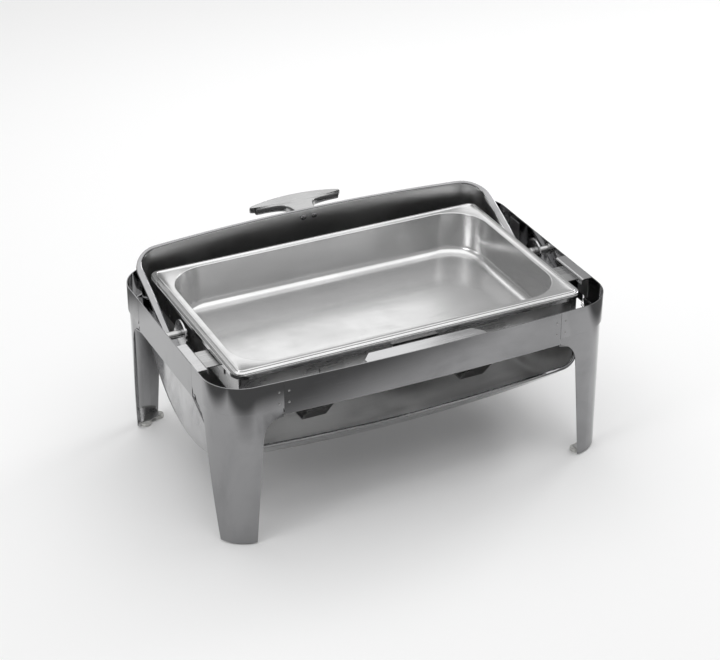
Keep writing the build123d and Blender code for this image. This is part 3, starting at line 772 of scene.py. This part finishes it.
rim = bmesh.new()
under = RIM_DROP - RIM_SHEET
rings = []
for i in range(6):
    a = math.radians(90 * i / 5)
    rings.append(rim_ring(rim, 0.32 * (1 - math.cos(a)), under + RIM_ROUND * (1 - math.sin(a))))
edge_profile = (
    (0.80, 0.0), (0.90, 0.1), (0.96, 0.45), (0.99, 1.0), (1.0, 1.7), (1.0, 3.2), (0.98, 3.9),
    (0.94, 4.2), (0.90, 3.9), (0.88, 3.2), (0.87, 1.8), (0.84, 1.3), (0.2, 1.25),
)
for share, rise in edge_profile:
    rings.append(rim_ring(rim, share, under + rise * MM))
join_rings(rim, rings)
bmesh.ops.recalc_face_normals(rim, faces=rim.faces)
rim.normal_update()
lowest = min(rim.faces, key=lambda f: f.calc_center_median().z)
if lowest.normal.z > 0:
    bmesh.ops.reverse_faces(rim, faces=rim.faces)
bmesh.ops.transform(rim, matrix=swing_open, verts=rim.verts)
add_piece("lid_rolled_rim", rim, "lid", rim_steel, ["lid_rim"], sharp=60.0)

# %% [markdown]
# ## The handle
# The handle is a solid casting, so it has the opposite character to the sheet: thick, with no hard
# edge, and slightly uneven. Its outline is drawn as arcs for one half and mirrored, and given its
# thickness. A bevel would leave flats between its rounds, so this coarse cage is rounded by
# subdivision instead. There is a known fault in it: each cap is a single face, which a subdivision
# splits from its middle, and the middle can't be reached from the wing tips without crossing the
# hollow. So the caps fold over there and leave a slit along each wing. Caps made of a strip of
# faces that follows the wings would not do that, and are the way to mend it.

# %% The handle's outline
HANDLE_RISE, TILT = 50 * MM, math.radians(23)
WING_HALF, WING_REACH, WING_THICK = 75 * MM, 51 * MM, 13 * MM
TIP_THINNER = 0.15
CAP_INSET, CAP_RISE = 2.6 * MM, 0.9 * MM
ROUNDING = 3
SUNK = 0.4 * MM  # how deep the stem's foot goes into the lid
foot_angle = math.asin(HANDLE_RISE / ROLL)


def arc_points(start, middle, finish, steps):
    """Points on the circle through three places, without the last one."""
    (ax, ay), (bx, by), (cx, cy) = start, middle, finish
    d = 2 * (ax * (by - cy) + bx * (cy - ay) + cx * (ay - by))
    a2, b2, c2 = ax * ax + ay * ay, bx * bx + by * by, cx * cx + cy * cy
    ux = (a2 * (by - cy) + b2 * (cy - ay) + c2 * (ay - by)) / d
    uy = (a2 * (cx - bx) + b2 * (ax - cx) + c2 * (bx - ax)) / d
    first, last = math.atan2(ay - uy, ax - ux), math.atan2(cy - uy, cx - ux)
    through = (math.atan2(by - uy, bx - ux) - first) % (2 * math.pi)
    sweep = (last - first) % (2 * math.pi)
    if through > sweep:
        sweep -= 2 * math.pi
    radius = math.hypot(ax - ux, ay - uy)
    angles = [first + sweep * i / steps for i in range(steps)]
    return [(ux + radius * math.cos(t), uy + radius * math.sin(t)) for t in angles]


def rounded_over(bm, levels):
    """The same mesh after a subdivision surface."""
    mesh = bpy.data.meshes.new("cage")
    bm.to_mesh(mesh)
    bm.free()
    holder = bpy.data.objects.new("cage", mesh)
    bpy.context.scene.collection.objects.link(holder)
    surface = holder.modifiers.new("round", "SUBSURF")
    surface.levels = surface.render_levels = levels
    finer = bmesh.new()
    finer.from_object(holder, bpy.context.evaluated_depsgraph_get())
    bpy.data.objects.remove(holder)
    bpy.data.meshes.remove(mesh)
    return finer


crest = (0.0, WING_REACH + 11 * MM)
tip_out = (WING_HALF - 4.2 * MM, WING_REACH + 0.8 * MM)
tip_in = (WING_HALF - 7.2 * MM, WING_REACH - 12.9 * MM)
tip_end = (WING_HALF + 0.9 * MM, WING_REACH - 7.5 * MM)
hollow = (26 * MM, WING_REACH - 14 * MM)
stem = (22 * MM, -12 * MM)
half_outline = [crest]
half_outline += arc_points(crest, (WING_HALF / 2, WING_REACH + 8.4 * MM), tip_out, 5)[1:]
half_outline += arc_points(tip_out, tip_end, tip_in, 5)
half_outline += arc_points(tip_in, (46 * MM, WING_REACH - 10 * MM), hollow, 5)
half_outline += arc_points(hollow, (19.5 * MM, WING_REACH - 25 * MM), stem, 4)
half_outline.append(stem)
outline = half_outline + [(-x, out) for x, out in reversed(half_outline[1:])]
print("outline points", len(outline))

# %% The casting
handle = bmesh.new()
base = [handle.verts.new((x, -out, -WING_THICK / 2)) for x, out in outline]
plate = bmesh.ops.contextual_create(handle, geom=base)["faces"]
grown = bmesh.ops.extrude_face_region(handle, geom=plate)
raised = [g for g in grown["geom"] if isinstance(g, bmesh.types.BMVert)]
bmesh.ops.translate(handle, vec=(0, 0, WING_THICK), verts=raised)
caps = [f for f in handle.faces if len(f.verts) == len(outline)]
bmesh.ops.inset_region(handle, faces=caps, thickness=CAP_INSET, depth=CAP_RISE)
for vert in handle.verts:
    vert.co.z *= 1 - TIP_THINNER * (vert.co.x / WING_HALF) ** 2
handle = rounded_over(handle, ROUNDING)
radial = Matrix.Rotation(TILT, 3, "X") @ Vector((0, -math.cos(foot_angle), math.sin(foot_angle)))
everything = handle.verts[:] + handle.edges[:] + handle.faces[:]
bmesh.ops.bisect_plane(
    handle, geom=everything, plane_co=radial * -SUNK, plane_no=radial, clear_inner=True
)
bmesh.ops.recalc_face_normals(handle, faces=handle.faces)
foot = Vector((0, -ROLL * math.cos(foot_angle), ROLL * math.sin(foot_angle)))
to_lid = Matrix.Translation(foot) @ Matrix.Rotation(-TILT, 4, "X")
bmesh.ops.transform(handle, matrix=swing_open @ to_lid, verts=handle.verts)
add_piece("lid_cast_handle", handle, "lid", cast_metal, ["lid_handle"], sharp=50.0)

# %% [markdown]
# ## The parts that keep their CAD shape
# Ledges, brackets, pins, lugs, burners, the water pan and the glides are folded or turned parts.
# The CAD model already gives them all the shape they need, so they only take a finish.


# %% Finishes for the remaining parts
def paint(material, *names):
    """Give a finish to parts of the CAD model."""
    for name in names:
        data = nodes[name].data
        data.materials.clear()
        data.materials.append(material)


BOTH_HANDS = ("left", "right")
paint(lid_steel, "front_ledge", *[f"end_ledge_{hand}" for hand in BOTH_HANDS])
paint(lid_steel, *[f"lid_lug_{hand}" for hand in BOTH_HANDS], "lug_rivets", "handle_screws")
paint(drawn_steel, "water_pan")
paint(bracket_steel, "seam_straps", "front_strut", "pan_frame", "toe_plates")
for hand in BOTH_HANDS:
    paint(bracket_steel, f"end_strut_{hand}", f"pivot_pin_{hand}")
    paint(bracket_steel, f"pivot_spacer_{hand}", f"pivot_nut_{hand}")
    paint(bracket_steel, f"burner_strap_{hand}", f"burner_cup_{hand}", f"burner_cover_{hand}")
    paint(drawn_steel, f"burner_damper_{hand}")
paint(plastic, "foot_glides")
print("painted", len(nodes), "parts")
